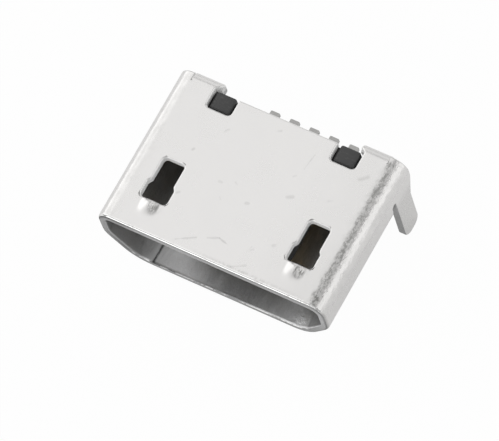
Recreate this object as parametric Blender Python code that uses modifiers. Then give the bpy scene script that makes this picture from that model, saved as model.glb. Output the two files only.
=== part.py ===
"""Micro USB socket: a folded sheet metal shell round a moulded insulator that carries five contacts.

Metres, +Z up. z = 0 is the board that the socket is soldered to, the mouth faces -Y, and the mouth's wide
side is on top. The origin is the centre of the shell's underside.
"""

import math

import bmesh
import bpy

MM = 0.001
TINY = 1e-9  # points nearer than this are one

# Mouth, inside the sheet
MOUTH_WIDTH = 6.90 * MM
MOUTH_HEIGHT = 1.85 * MM

# Folded sheet
SHEET = 0.25 * MM
SHELL_LENGTH = 5.05 * MM  # mouth to the side walls' rear edges
UPPER_BEND = 0.25 * MM  # inside radius beside the top plate
SIDE_BEND = 0.46 * MM  # inside radius between the side wall and the slanted corner
FLOOR_BEND = 0.75 * MM  # inside radius between the slanted corner and the underside
SLANT_RUN = 0.82 * MM  # slanted lower corner, across, outside
SLANT_RISE = 1.07 * MM  # slanted lower corner, up, outside
BEND_STEPS = 8
SLANT_STEPS = 5

# Seam of the underside folds, on the left
SEAM_INSET = 0.68 * MM  # from the slanted corner
SEAM_GAP = 0.03 * MM
DOVETAIL_START = 1.70 * MM
DOVETAIL_NECK = 0.55 * MM
DOVETAIL_HEAD = 0.85 * MM
DOVETAIL_REACH = 0.55 * MM

# Legs, one at the rear of each side wall
LEG_SETBACK = 0.20 * MM  # from the shell's rear end
LEG_WIDTH = 0.73 * MM
RELIEF = 0.17 * MM  # slot between the leg and the underside folds
LEG_REACH = 0.93 * MM  # below the board plane
LEG_TIP_RADIUS = 0.30 * MM
HEEL_DROP = 0.28 * MM  # where the side's rear edge starts to slope, below the upper bend
HEEL_HEIGHT = 0.80 * MM  # drop of that slope
HEEL_ROUND = 0.20 * MM

# Rear flanges, folded down behind the insulator
FLANGE_DEPTH = 0.66 * MM
FLANGE_PROUD = 0.09 * MM  # its face, behind the side walls' rear edges
FLANGE_BEND = 0.06 * MM  # inside radius
FLANGE_ROUND = 0.12 * MM  # radius of its lower corners
HOOK_REACH = 0.16 * MM  # the flange's inner end reaches this far behind the notch
FLANGE_SLOT = 0.02 * MM  # slot between the flange and the corner bend
FLANGE_STEPS = 8
HOOK_STEP = 2  # steps of the bend before the hook starts
REAR_SETBACK = 0.25 * MM  # plain rear edge between the notches, from the shell's rear end

# Windows for the plug's catches
WINDOW_INSET = 1.08 * MM  # its centre, from the mouth's side
WINDOW_FRONT = 1.01 * MM
WINDOW_STEP = 1.51 * MM
WINDOW_TAPER = 0.12 * MM
WINDOW_REAR = 2.37 * MM
WINDOW_WIDE = 0.86 * MM
WINDOW_NARROW = 0.70 * MM
WINDOW_ROUND = 0.13 * MM

# Pressed bump in front of each window
BUMP_WIDTH = 0.66 * MM
BUMP_FRONT = 0.40 * MM
BUMP_CREST = 0.88 * MM
BUMP_END = 1.12 * MM
BUMP_HEIGHT = 0.13 * MM
BUMP_STEPS = 8

# Notches for the insulator's bosses
NOTCH_INSET = 1.02 * MM  # its outer edge, from the mouth's side
NOTCH_WIDTH = 0.82 * MM
NOTCH_DEPTH = 0.82 * MM  # from the shell's rear end
NOTCH_ROUND = 0.14 * MM

# Insulator
FIT = 0.02 * MM  # clearance between the moulding and the metal
BLOCK_GAP = 0.07 * MM  # behind the underside folds
BLOCK_ROUND = 0.24 * MM
TONGUE_WIDTH = 3.50 * MM
TONGUE_THICKNESS = 0.60 * MM
TONGUE_SETBACK = 0.95 * MM
TONGUE_GAP = 0.35 * MM  # above the tongue, for the plug's shell
TONGUE_EDGE = 0.08 * MM
BOSS_SIDE_GAP = 0.09 * MM
BOSS_FRONT_GAP = 0.05 * MM
BOSS_SINK = 0.08 * MM  # its top, below the top plate's face
BOSS_EDGE = 0.07 * MM
JOIN = 0.30 * MM  # how far joined mouldings run into each other

# Contacts
CONTACT_COUNT = 5
CONTACT_PITCH = 0.65 * MM
CONTACT_WIDTH = 0.30 * MM
CONTACT_THICKNESS = 0.15 * MM
CONTACT_SETBACK = 0.25 * MM  # from the tongue's front
CONTACT_PROUD = 0.03 * MM  # below the tongue's underside
CONTACT_BEND = 0.12 * MM  # centre-line radius
CONTACT_RISER_INSET = 0.17 * MM  # centre of the upright run, from the block's rear face
TAIL_REACH = 0.64 * MM  # behind the shell's rear end
CONTACT_STEPS = 5

# Worked out from the sizes above
HALF_WIDTH = MOUTH_WIDTH / 2 + SHEET
HEIGHT = MOUTH_HEIGHT + 2 * SHEET
UPPER_OUTSIDE = UPPER_BEND + SHEET
SIDE_OUTSIDE = SIDE_BEND + SHEET
FLOOR_OUTSIDE = FLOOR_BEND + SHEET
PLATE_EDGE = HALF_WIDTH - UPPER_OUTSIDE  # where the top plate meets its bend
WALL_TOP = HEIGHT - UPPER_OUTSIDE
FLANGE_OUTSIDE = FLANGE_BEND + SHEET
FLANGE_FACE = SHELL_LENGTH + FLANGE_PROUD
FLANGE_START = FLANGE_FACE - FLANGE_OUTSIDE
REAR_EDGE = SHELL_LENGTH - REAR_SETBACK
WINDOW_CENTRE = MOUTH_WIDTH / 2 - WINDOW_INSET
NOTCH_OUTER = MOUTH_WIDTH / 2 - NOTCH_INSET
NOTCH_INNER = NOTCH_OUTER - NOTCH_WIDTH
NOTCH_FRONT = SHELL_LENGTH - NOTCH_DEPTH
LEG_REAR = SHELL_LENGTH - LEG_SETBACK
LEG_FRONT = LEG_REAR - LEG_WIDTH
UNDERSIDE_LENGTH = LEG_FRONT - RELIEF
SEAM_PLACE = SEAM_INSET + SLANT_RUN - HALF_WIDTH
BLOCK_REAR = REAR_EDGE - FIT
BLOCK_FRONT = UNDERSIDE_LENGTH + BLOCK_GAP
BLOCK_TOP = HEIGHT - SHEET - FIT
TONGUE_TOP = HEIGHT - SHEET - TONGUE_GAP
TONGUE_UNDER = TONGUE_TOP - TONGUE_THICKNESS
CONTACT_FRONT = TONGUE_SETBACK + CONTACT_SETBACK
CONTACT_LEVEL = TONGUE_UNDER - CONTACT_PROUD + CONTACT_THICKNESS / 2
CONTACT_RISER = BLOCK_REAR - CONTACT_RISER_INSET


def from_mouth(distance):
    """The Y of a point this far behind the mouth."""
    return distance - SHELL_LENGTH / 2


def rounded(corners, steps):
    """The points of a path of (u, v, radius) corners, each turned on an arc of its radius.

    The first and last corners are plain ends. An arc starts and stops at radius * tan(turn / 2) from its
    corner, and its points are equal steps of angle about its centre. Arcs that meet share their point.
    """
    points = [corners[0][:2]]
    for before, (u, v, radius), after in zip(corners, corners[1:], corners[2:]):
        into = (u - before[0], v - before[1])
        out = (after[0] - u, after[1] - v)
        into_length, out_length = math.hypot(*into), math.hypot(*out)
        into = (into[0] / into_length, into[1] / into_length)
        out = (out[0] / out_length, out[1] / out_length)
        turn = math.atan2(into[0] * out[1] - into[1] * out[0], into[0] * out[0] + into[1] * out[1])
        reach = radius * math.tan(abs(turn) / 2)
        if reach == 0:
            points.append((u, v))
            continue
        side = math.copysign(1, turn)
        start = (u - into[0] * reach, v - into[1] * reach)
        centre = (start[0] - into[1] * side * radius, start[1] + into[0] * side * radius)
        first = math.atan2(start[1] - centre[1], start[0] - centre[0])
        for step in range(steps + 1):
            angle = first + turn * step / steps
            points.append((centre[0] + radius * math.cos(angle), centre[1] + radius * math.sin(angle)))
    points.append(corners[-1][:2])
    kept = [point for last, point in zip(points, points[1:]) if math.dist(last, point) > TINY]
    return [points[0], *kept]


def rounded_loop(corners, steps):
    """A closed outline of (u, v, radius) corners. It starts half-way along its last side."""
    first, last = corners[0], corners[-1]
    middle = ((first[0] + last[0]) / 2, (first[1] + last[1]) / 2, 0)
    return rounded([middle, *corners, middle], steps)[:-1]


def clear_scene():
    for old in list(bpy.data.objects):
        bpy.data.objects.remove(old, do_unlink=True)


def new_collection(name):
    made = bpy.data.collections.new(name)
    bpy.context.scene.collection.children.link(made)
    return made


def new_object(name, bm, collection):
    mesh = bpy.data.meshes.new(name)
    bm.to_mesh(mesh)
    bm.free()
    made = bpy.data.objects.new(name, mesh)
    collection.objects.link(made)
    return made


def new_material(name, colour, metallic, roughness):
    made = bpy.data.materials.new(name)
    made.use_nodes = True
    shader = made.node_tree.nodes["Principled BSDF"]
    shader.inputs["Base Color"].default_value = (*colour, 1)
    shader.inputs["Metallic"].default_value = metallic
    shader.inputs["Roughness"].default_value = roughness
    return made


def prism(bm, outline, place, low, high):
    """A flat outline carried from low to high. place turns (u, v, depth) into a point."""
    face = bm.faces.new([bm.verts.new(place(u, v, low)) for u, v in outline])
    grown = bmesh.ops.extrude_face_region(bm, geom=[face])["geom"]
    shift = [a - b for a, b in zip(place(0, 0, high), place(0, 0, low))]
    bmesh.ops.translate(bm, vec=shift, verts=[g for g in grown if isinstance(g, bmesh.types.BMVert)])


def upright(u, v, depth):
    """An outline drawn from above: u across, v back from the mouth."""
    return u, from_mouth(v), depth


def sideways(u, v, depth):
    """An outline drawn from the side: u back from the mouth, v up."""
    return depth, from_mouth(u), v


def new_cutter(name, bm, collection):
    bmesh.ops.recalc_face_normals(bm, faces=bm.faces)
    cutter = new_object(name, bm, collection)
    cutter.hide_render = True
    cutter.display_type = "WIRE"
    return cutter


def mirror(obj):
    modifier = obj.modifiers.new("Mirror", "MIRROR")
    modifier.use_clip = True
    modifier.merge_threshold = 1e-7


def solidify(obj, thickness, offset):
    modifier = obj.modifiers.new("Solidify", "SOLIDIFY")
    modifier.thickness = thickness
    modifier.offset = offset
    modifier.use_even_offset = True
    modifier.use_quality_normals = True


def boolean(obj, other, operation):
    modifier = obj.modifiers.new(f"{operation.title()} {other.name}", "BOOLEAN")
    modifier.object = other
    modifier.operation = operation


def bevel(obj, width, segments):
    modifier = obj.modifiers.new("Bevel", "BEVEL")
    modifier.width = width
    modifier.segments = segments
    modifier.limit_method = "ANGLE"


def smooth(obj):
    obj.data.shade_smooth()
    obj.data.set_sharp_from_angle(angle=math.radians(35))


class Sheet:
    """An open surface that grows face by face, with one vertex for each place."""

    def __init__(self):
        self.bm = bmesh.new()
        self.places = {}

    def vertex(self, x, y, z):
        key = tuple(round(value / MM, 6) for value in (x, y, z))
        if key not in self.places:
            self.places[key] = self.bm.verts.new((x, y, z))
        return self.places[key]

    def face(self, points):
        self.bm.faces.new([self.vertex(*point) for point in points])

    def strip(self, near, far):
        """Quads between two lines of as many points."""
        for a, b, c, d in zip(near, near[1:], far[1:], far):
            self.face([a, b, c, d])


def bump_rise(x, distance):
    """Height of the pressed bump: a cosine hill across, and a long rise and a steeper fall along."""
    across = abs(x - WINDOW_CENTRE) / (BUMP_WIDTH / 2)
    if distance < BUMP_CREST:
        along = (BUMP_CREST - distance) / (BUMP_CREST - BUMP_FRONT)
    else:
        along = (distance - BUMP_CREST) / (BUMP_END - BUMP_CREST)
    if across >= 1 or along >= 1:
        return 0.0
    return BUMP_HEIGHT * (0.5 + 0.5 * math.cos(math.pi * across)) * (0.5 + 0.5 * math.cos(math.pi * along))


def stations(first, last, count):
    """Equal steps from first to last."""
    return [first + (last - first) * step / count for step in range(count + 1)]


def edge_stations():
    """Where the top plate's side edge has vertices, from the mouth back."""
    return [0.0, *stations(BUMP_FRONT, BUMP_END, BUMP_STEPS), FLANGE_START]


def add_top(sheet):
    """The right half of the top plate: a grid under the bump, then one flat outline with the notch."""
    bump = stations(WINDOW_CENTRE - BUMP_WIDTH / 2, WINDOW_CENTRE + BUMP_WIDTH / 2, BUMP_STEPS)
    across = [0.0, *bump, PLATE_EDGE]
    along = edge_stations()[:-1]
    for near, far in zip(along, along[1:]):
        sheet.strip(
            [(x, from_mouth(near), HEIGHT) for x in across],
            [(x, from_mouth(far), HEIGHT) for x in across],
        )
    rear = rounded(
        [
            (NOTCH_OUTER, FLANGE_START, 0),
            (NOTCH_OUTER, NOTCH_FRONT, NOTCH_ROUND),
            (NOTCH_INNER, NOTCH_FRONT, NOTCH_ROUND),
            (NOTCH_INNER, REAR_EDGE, 0),
        ],
        SLANT_STEPS,
    )
    outline = [*((x, BUMP_END) for x in across), (PLATE_EDGE, FLANGE_START)]
    outline += [(PLATE_EDGE - FLANGE_SLOT, FLANGE_START), *rear, (0, REAR_EDGE)]
    sheet.face([(x, from_mouth(distance), HEIGHT) for x, distance in outline])


def add_flange(sheet):
    """The rear flange: a bend down from the top plate, then a flat face with rounded lower corners.

    Its hook reaches inwards behind the notch.
    """
    bottom = HEIGHT - FLANGE_DEPTH
    bend = rounded(
        [(FLANGE_START, HEIGHT, 0), (FLANGE_FACE, HEIGHT, FLANGE_OUTSIDE), (FLANGE_FACE, bottom, 0)],
        FLANGE_STEPS,
    )[:-1]
    inner, outer = NOTCH_OUTER - HOOK_REACH, PLATE_EDGE - FLANGE_SLOT
    for step, ((near, near_z), (far, far_z)) in enumerate(zip(bend, bend[1:])):
        reach = [inner, NOTCH_OUTER, outer] if step >= HOOK_STEP else [NOTCH_OUTER, outer]
        sheet.strip(
            [(x, from_mouth(near), near_z) for x in reach],
            [(x, from_mouth(far), far_z) for x in reach],
        )
    top = bend[-1][1]
    face = rounded(
        [(inner, top, 0), (inner, bottom, FLANGE_ROUND), (outer, bottom, FLANGE_ROUND), (outer, top, 0)],
        SLANT_STEPS,
    )
    sheet.face([(x, from_mouth(FLANGE_FACE), z) for x, z in [*face, (NOTCH_OUTER, top)]])


def add_corner(sheet):
    """The bend between the top plate and the side wall, from the mouth to the wall's rear edge."""
    along = [*edge_stations(), SHELL_LENGTH]
    for step in range(BEND_STEPS):
        near, far = (math.radians(90 * s / BEND_STEPS) for s in (step, step + 1))
        sheet.strip(
            [corner_point(near, distance) for distance in along],
            [corner_point(far, distance) for distance in along],
        )


def corner_point(angle, distance):
    """A point of the upper bend: angle 0 is at the top plate and a quarter turn is at the side wall."""
    return (
        PLATE_EDGE + UPPER_OUTSIDE * math.sin(angle),
        from_mouth(distance),
        WALL_TOP + UPPER_OUTSIDE * math.cos(angle),
    )


def slant_path():
    """Section of the lower fold, from the side wall down the slanted corner to the underside's centre."""
    return rounded(
        [
            (HALF_WIDTH, WALL_TOP, 0),
            (HALF_WIDTH, SLANT_RISE, SIDE_OUTSIDE),
            (HALF_WIDTH - SLANT_RUN, 0, FLOOR_OUTSIDE),
            (0, 0, 0),
        ],
        SLANT_STEPS,
    )[1:]


def add_side(sheet):
    """The side wall as one flat outline, with the relief slot, the leg and the sloping heel."""
    fold = slant_path()[0][1]
    slot_top = fold + RELIEF
    heel_top = WALL_TOP - HEEL_DROP
    heel_foot = heel_top - HEEL_HEIGHT
    lower = rounded(
        [
            (SHELL_LENGTH, WALL_TOP, 0),
            (SHELL_LENGTH, heel_top, HEEL_ROUND),
            (LEG_REAR, heel_foot, HEEL_ROUND),
            (LEG_REAR, -LEG_REACH, LEG_TIP_RADIUS),
            (LEG_FRONT, -LEG_REACH, LEG_TIP_RADIUS),
            (LEG_FRONT, slot_top, RELIEF / 2),
            (UNDERSIDE_LENGTH, slot_top, RELIEF / 2),
            (UNDERSIDE_LENGTH, fold, 0),
        ],
        BEND_STEPS,
    )
    upper = [(distance, WALL_TOP) for distance in edge_stations()]
    outline = [*upper, *lower, (0, fold)]
    sheet.face([(HALF_WIDTH, from_mouth(distance), z) for distance, z in outline])


def add_underside(sheet):
    """The slanted corner and half of the underside."""
    for (near_x, near_z), (far_x, far_z) in zip(slant_path(), slant_path()[1:]):
        sheet.strip(
            [(near_x, from_mouth(distance), near_z) for distance in (0, UNDERSIDE_LENGTH)],
            [(far_x, from_mouth(distance), far_z) for distance in (0, UNDERSIDE_LENGTH)],
        )


def window_cutter(cutters):
    """The bottle shape of a window, wide at the mouth end. The other window is its mirror image."""
    wide, narrow = WINDOW_WIDE / 2, WINDOW_NARROW / 2
    neck = WINDOW_STEP + WINDOW_TAPER
    right = [
        (wide, WINDOW_FRONT, WINDOW_ROUND),
        (wide, WINDOW_STEP, WINDOW_TAPER / 2),
        (narrow, neck, WINDOW_TAPER / 2),
        (narrow, WINDOW_REAR, WINDOW_ROUND),
    ]
    left = [(-u, v, radius) for u, v, radius in reversed(right)]
    outline = [(WINDOW_CENTRE + u, v) for u, v in rounded_loop([*right, *left], SLANT_STEPS)]
    bm = bmesh.new()
    prism(bm, outline, upright, HEIGHT - 2 * SHEET, HEIGHT + SHEET)
    cutter = new_cutter("window_cutter", bm, cutters)
    mirror(cutter)
    return cutter


def seam_cutter(cutters):
    """The narrow gap where the sheet's ends meet, with the dovetail that locks them."""
    end = UNDERSIDE_LENGTH + SHEET
    spread = (DOVETAIL_HEAD - DOVETAIL_NECK) / 2
    neck_near = DOVETAIL_START
    neck_far = DOVETAIL_START + DOVETAIL_NECK
    line = [
        (0, -SHEET),
        (0, neck_near),
        (DOVETAIL_REACH, neck_near - spread),
        (DOVETAIL_REACH, neck_far + spread),
        (0, neck_far),
        (0, end),
    ]
    half = SEAM_GAP / 2
    one, other = offset_line(line, half), offset_line(line, -half)
    outline = [(u + SEAM_PLACE, v) for u, v in [*one, *reversed(other)]]
    bm = bmesh.new()
    prism(bm, outline, upright, -SHEET, 2 * SHEET)
    return new_cutter("seam_cutter", bm, cutters)


def offset_line(line, distance):
    """The line moved sideways by distance, with mitred corners."""
    moved = []
    for index, point in enumerate(line):
        before, after = line[max(index - 1, 0)], line[min(index + 1, len(line) - 1)]
        normals = []
        for start, stop in ((before, point), (point, after)):
            length = math.hypot(stop[0] - start[0], stop[1] - start[1])
            if length:
                normals.append(((stop[1] - start[1]) / length, (start[0] - stop[0]) / length))
        u = sum(normal[0] for normal in normals)
        v = sum(normal[1] for normal in normals)
        scale = distance * len(normals) / (u * u + v * v)
        moved.append((point[0] + u * scale, point[1] + v * scale))
    return moved


def press_bumps(shell):
    """Fixes the sheet's thickness, then raises both faces of the top plate over the bumps.

    The faces that this bends are cut into flat triangles.
    """
    solid = shell.evaluated_get(bpy.context.evaluated_depsgraph_get())
    shell.data = bpy.data.meshes.new_from_object(solid)
    shell.modifiers.clear()
    bm = bmesh.new()
    bm.from_mesh(shell.data)
    raised = set()
    for vertex in bm.verts:
        rise = bump_rise(abs(vertex.co.x), vertex.co.y - from_mouth(0))
        if rise and vertex.co.z > HEIGHT / 2:
            vertex.co.z += rise
            raised.update(vertex.link_faces)
    bmesh.ops.triangulate(bm, faces=sorted(raised, key=lambda face: face.index))
    bm.to_mesh(shell.data)
    bm.free()


def make_shell(parts, cutters, metal):
    """Half of the folded sheet's outside, mirrored, given its thickness inwards, pressed and pierced."""
    sheet = Sheet()
    add_top(sheet)
    add_flange(sheet)
    add_corner(sheet)
    add_side(sheet)
    add_underside(sheet)
    bmesh.ops.recalc_face_normals(sheet.bm, faces=sheet.bm.faces)
    top = max(sheet.bm.faces, key=lambda face: face.calc_center_median().z)
    if top.normal.z < 0:
        bmesh.ops.reverse_faces(sheet.bm, faces=sheet.bm.faces)
    shell = new_object("shell", sheet.bm, parts)
    mirror(shell)
    solidify(shell, SHEET, -1)
    press_bumps(shell)
    boolean(shell, window_cutter(cutters), "DIFFERENCE")
    boolean(shell, seam_cutter(cutters), "DIFFERENCE")
    shell.data.materials.append(metal)
    smooth(shell)


def box(bm, low, high):
    """A block between two corners, each given as (across, back from the mouth, up)."""
    outline = [(low[0], low[1]), (high[0], low[1]), (high[0], high[1]), (low[0], high[1])]
    prism(bm, outline, upright, low[2], high[2])


def rounded_box(name, low, high, edge, segments, collection):
    bm = bmesh.new()
    box(bm, low, high)
    made = new_cutter(name, bm, collection)
    bevel(made, edge, segments)
    return made


def boss(cutters):
    """The boss that stands in a notch and runs down the block's rear as a rib, with its mirror image."""
    made = rounded_box(
        "boss",
        (NOTCH_INNER + BOSS_SIDE_GAP, NOTCH_FRONT + BOSS_FRONT_GAP, BLOCK_ROUND),
        (NOTCH_OUTER - BOSS_SIDE_GAP, FLANGE_START, HEIGHT - BOSS_SINK),
        BOSS_EDGE,
        3,
        cutters,
    )
    mirror(made)
    return made


def tongue(cutters):
    half = TONGUE_WIDTH / 2
    return rounded_box(
        "tongue",
        (-half, TONGUE_SETBACK, TONGUE_UNDER),
        (half, BLOCK_FRONT + JOIN, TONGUE_TOP),
        TONGUE_EDGE,
        2,
        cutters,
    )


def contact_places():
    """The contacts' X, from the left."""
    middle = (CONTACT_COUNT - 1) / 2
    return [(index - middle) * CONTACT_PITCH for index in range(CONTACT_COUNT)]


def channel_cutter(cutters):
    """The groove below the tongue, the way through the block and the slot down its rear, for each contact."""
    ceiling = CONTACT_LEVEL + CONTACT_THICKNESS / 2 + FIT
    floor = TONGUE_UNDER - CONTACT_PROUD - FIT
    slot_front = CONTACT_RISER - CONTACT_THICKNESS / 2 - FIT
    outline = [
        (CONTACT_FRONT - FIT, ceiling),
        (BLOCK_REAR + SHEET, ceiling),
        (BLOCK_REAR + SHEET, -SHEET),
        (slot_front, -SHEET),
        (slot_front, floor),
        (CONTACT_FRONT - FIT, floor),
    ]
    half = CONTACT_WIDTH / 2 + FIT
    bm = bmesh.new()
    for x in contact_places():
        prism(bm, outline, sideways, x - half, x + half)
    return new_cutter("channel_cutter", bm, cutters)


def make_housing(parts, cutters, plastic):
    """The moulded block across the rear, joined to its tongue and bosses and grooved for the contacts."""
    half = MOUTH_WIDTH / 2 - FIT
    bm = bmesh.new()
    box(bm, (-half, BLOCK_FRONT, FIT), (half, BLOCK_REAR, BLOCK_TOP))
    along = [edge for edge in bm.edges if abs(edge.verts[0].co.y - edge.verts[1].co.y) > TINY]
    bmesh.ops.bevel(bm, geom=along, offset=BLOCK_ROUND, segments=BEND_STEPS // 2, profile=0.5, affect="EDGES")
    bmesh.ops.recalc_face_normals(bm, faces=bm.faces)
    housing = new_object("insulator_housing", bm, parts)
    boolean(housing, tongue(cutters), "UNION")
    boolean(housing, boss(cutters), "UNION")
    boolean(housing, channel_cutter(cutters), "DIFFERENCE")
    housing.data.materials.append(plastic)
    smooth(housing)


def make_contacts(parts, plating):
    """Five strips, each below the tongue, down the block's rear and out along the board."""
    tail_level = CONTACT_THICKNESS / 2
    line = rounded(
        [
            (CONTACT_FRONT, CONTACT_LEVEL, 0),
            (CONTACT_RISER, CONTACT_LEVEL, CONTACT_BEND),
            (CONTACT_RISER, tail_level, CONTACT_BEND),
            (SHELL_LENGTH + TAIL_REACH, tail_level, 0),
        ],
        CONTACT_STEPS,
    )
    for number, x in enumerate(contact_places(), 1):
        sheet = Sheet()
        left, right = x - CONTACT_WIDTH / 2, x + CONTACT_WIDTH / 2
        sheet.strip(
            [(left, from_mouth(distance), z) for distance, z in line],
            [(right, from_mouth(distance), z) for distance, z in line],
        )
        contact = new_object(f"contact_{number}", sheet.bm, parts)
        solidify(contact, CONTACT_THICKNESS, 0)
        contact.data.materials.append(plating)
        smooth(contact)


def main():
    clear_scene()
    parts = new_collection("micro_usb_socket")
    cutters = new_collection("cutters")
    make_shell(parts, cutters, new_material("nickel_plate", (0.76, 0.75, 0.73), 1.0, 0.3))
    make_housing(parts, cutters, new_material("black_moulding", (0.03, 0.03, 0.03), 0.0, 0.5))
    make_contacts(parts, new_material("tin_plate", (0.72, 0.71, 0.69), 1.0, 0.35))


main()
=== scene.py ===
"""Micro USB socket: its folded sheet, its moulding and its contacts, finished and set on a pale floor.

Metres, +Z up. The mouth faces -Y and z = 0 is the board's face.
Every piece is made where the frame has it.
"""

import math
from contextlib import contextmanager

import bmesh
import bpy
import numpy as np
from bpy.props import FloatProperty, FloatVectorProperty, IntProperty, PointerProperty
from mathutils import Matrix, Vector


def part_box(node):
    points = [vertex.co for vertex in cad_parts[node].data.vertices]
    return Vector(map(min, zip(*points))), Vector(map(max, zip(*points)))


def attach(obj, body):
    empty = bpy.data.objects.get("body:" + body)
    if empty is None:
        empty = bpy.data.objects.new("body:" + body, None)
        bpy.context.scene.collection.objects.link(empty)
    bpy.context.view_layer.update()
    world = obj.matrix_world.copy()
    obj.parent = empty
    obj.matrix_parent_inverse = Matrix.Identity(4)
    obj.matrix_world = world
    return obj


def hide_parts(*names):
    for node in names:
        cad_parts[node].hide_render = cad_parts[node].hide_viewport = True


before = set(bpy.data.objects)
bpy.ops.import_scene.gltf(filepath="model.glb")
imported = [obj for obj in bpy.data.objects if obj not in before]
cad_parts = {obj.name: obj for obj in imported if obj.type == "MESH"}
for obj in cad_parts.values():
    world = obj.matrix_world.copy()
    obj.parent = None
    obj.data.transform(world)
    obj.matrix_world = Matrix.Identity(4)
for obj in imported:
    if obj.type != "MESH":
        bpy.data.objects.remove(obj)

bl_info = {
    "name": "Micro USB Socket",
    "version": (1, 0, 0),
    "blender": (4, 5, 0),
    "location": "View3D > Sidebar > Socket",
    "description": "Folds, moulds, stamps and lights a board-mounted micro USB socket",
    "category": "Add Mesh",
}

MM = 0.001
SHELL_LOW, SHELL_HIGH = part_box("shell")
HALF_WIDTH = SHELL_HIGH.x
MOUTH = SHELL_LOW.y
FLANGE_FACE = SHELL_HIGH.y - SHELL_LOW.y
LEG_TIP = SHELL_LOW.z

# Places closer than these count as one, along a path and among a mesh's corners.
TINY = 1e-9
WELD = 1e-7

# The signs of a rectangle's four corners, in turn.
QUARTERS = ((-1, -1), (1, -1), (1, 1), (-1, 1))

# Steps of an arc, of the bend beside the plate and of the flange's side, and rows round an opening.
ARC_STEPS = 16
ARC_MIDDLE = ARC_STEPS // 2
BEND_STEPS = 16
FLANK_STEPS = 8
WINDOW_ROWS = 16
NOTCH_ROWS = 6

# The flange swings behind the notch until it has turned this far.
SWING_END = math.radians(35)

# Only what lies further to the side than this leans in at the moulding's foot.
BLOCK_SIDE = 2.9 * MM

# Tones that wear, stains and grain take the finishes to, and the tones of painted shade and painted
# highlights.
WORN_AND_SHADED_NICKEL = (0.22, 0.22, 0.21)
EDGE_HIGHLIGHT = (0.97, 0.97, 0.96)
SHADED_EDGE = (0.16, 0.16, 0.16)
PALE_WALL_AND_HIGHLIGHT = (1.0, 1.0, 0.99)
DULL_AND_SHADED_INSIDE = (0.52, 0.52, 0.52)
GRIME = (0.05, 0.05, 0.05)
FIBRE = (0.12, 0.12, 0.115)
DRAWN_LINES = (0.3, 0.3, 0.3)

# The floor: its half width in metres, and how white it is to the camera and in the metal's reflections.
FLOOR_REACH = 2.0
SEEN_GLOW = 0.97
MIRRORED_GLOW = 0.42

# Softboxes: the studio's value with their radiance, their place, and their width and height, in metres.
SOFTBOXES = {
    "left_softbox": ("key", (-0.186, 0.030, 0.222), (0.375, 0.62)),
    "side_softbox": ("side", (-0.270, 0.075, 0.105), (0.220, 0.300)),
    "right_softbox": ("fill", (0.250, 0.085, 0.133), (0.320, 0.40)),
    "rear_softbox": ("rear", (-0.030, 0.270, 0.115), (0.350, 0.200)),
    "front_softbox": ("front", (-0.100, -0.270, 0.090), (0.260, 0.240)),
}

# Scratches on the top plate: start, end, width and depth, in millimetres from the origin.
SCRATCHES = [
    ((1.13, 1.14), (1.20, 1.65), 0.020, 0.5),
    ((-1.18, -2.29), (-0.66, -2.00), 0.020, 0.6),
    ((-0.37, -1.88), (-0.04, -1.73), 0.020, 0.6),
    ((-0.04, -1.73), (0.30, -1.83), 0.020, 0.6),
    ((0.30, -1.83), (0.33, -1.97), 0.020, 0.6),
    ((0.86, -1.78), (0.92, -1.60), 0.022, 0.5),
    ((0.62, -2.42), (1.05, -2.17), 0.018, 0.4),
    ((-1.50, 1.26), (-1.44, 1.34), 0.035, 0.5),
    ((-0.12, 1.88), (-0.04, 1.92), 0.035, 0.5),
    ((-2.08, 0.35), (-2.06, 0.38), 0.035, 0.6),
    ((-0.90, -0.20), (-0.82, -0.20), 0.035, 0.4),
    ((-0.46, -0.04), (-0.38, -0.08), 0.030, 0.4),
    ((-0.66, -0.62), (-0.60, -0.68), 0.035, 0.5),
    ((0.12, -0.48), (0.20, -0.46), 0.030, 0.5),
    ((1.12, 0.17), (1.24, 0.24), 0.040, 0.5),
    ((0.96, 0.80), (1.02, 0.86), 0.030, 0.4),
    ((-1.83, -1.00), (-1.78, -0.96), 0.035, 0.6),
    ((0.94, -1.70), (1.00, -1.64), 0.030, 0.4),
    ((1.45, -1.31), (1.51, -1.26), 0.030, 0.4),
    ((2.72, 1.50), (2.90, 1.66), 0.050, 0.5),
    ((2.24, 0.55), (2.34, 0.62), 0.040, 0.4),
    ((3.28, 2.30), (3.56, 2.40), 0.035, 0.5),
    ((3.22, 2.10), (3.30, 2.34), 0.035, 0.4),
]


def length(label, description, millimetres):
    """A size property, given here in millimetres and kept in metres."""
    return FloatProperty(
        name=label, description=description, default=millimetres * MM, unit="LENGTH", precision=6
    )


def angle(label, description, degrees):
    """An angle property, given here in degrees and kept in radians."""
    return FloatProperty(
        name=label, description=description, default=math.radians(degrees), subtype="ANGLE"
    )


def light_level(label, description, radiance):
    """A radiance property. A lamp of radiance 1 looks white where it is mirrored."""
    return FloatProperty(name=label, description=description, default=radiance, min=0)


def colour(label, description, value):
    """A colour property."""
    return FloatVectorProperty(
        name=label, description=description, default=value, subtype="COLOR", size=3, min=0, max=1
    )


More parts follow.
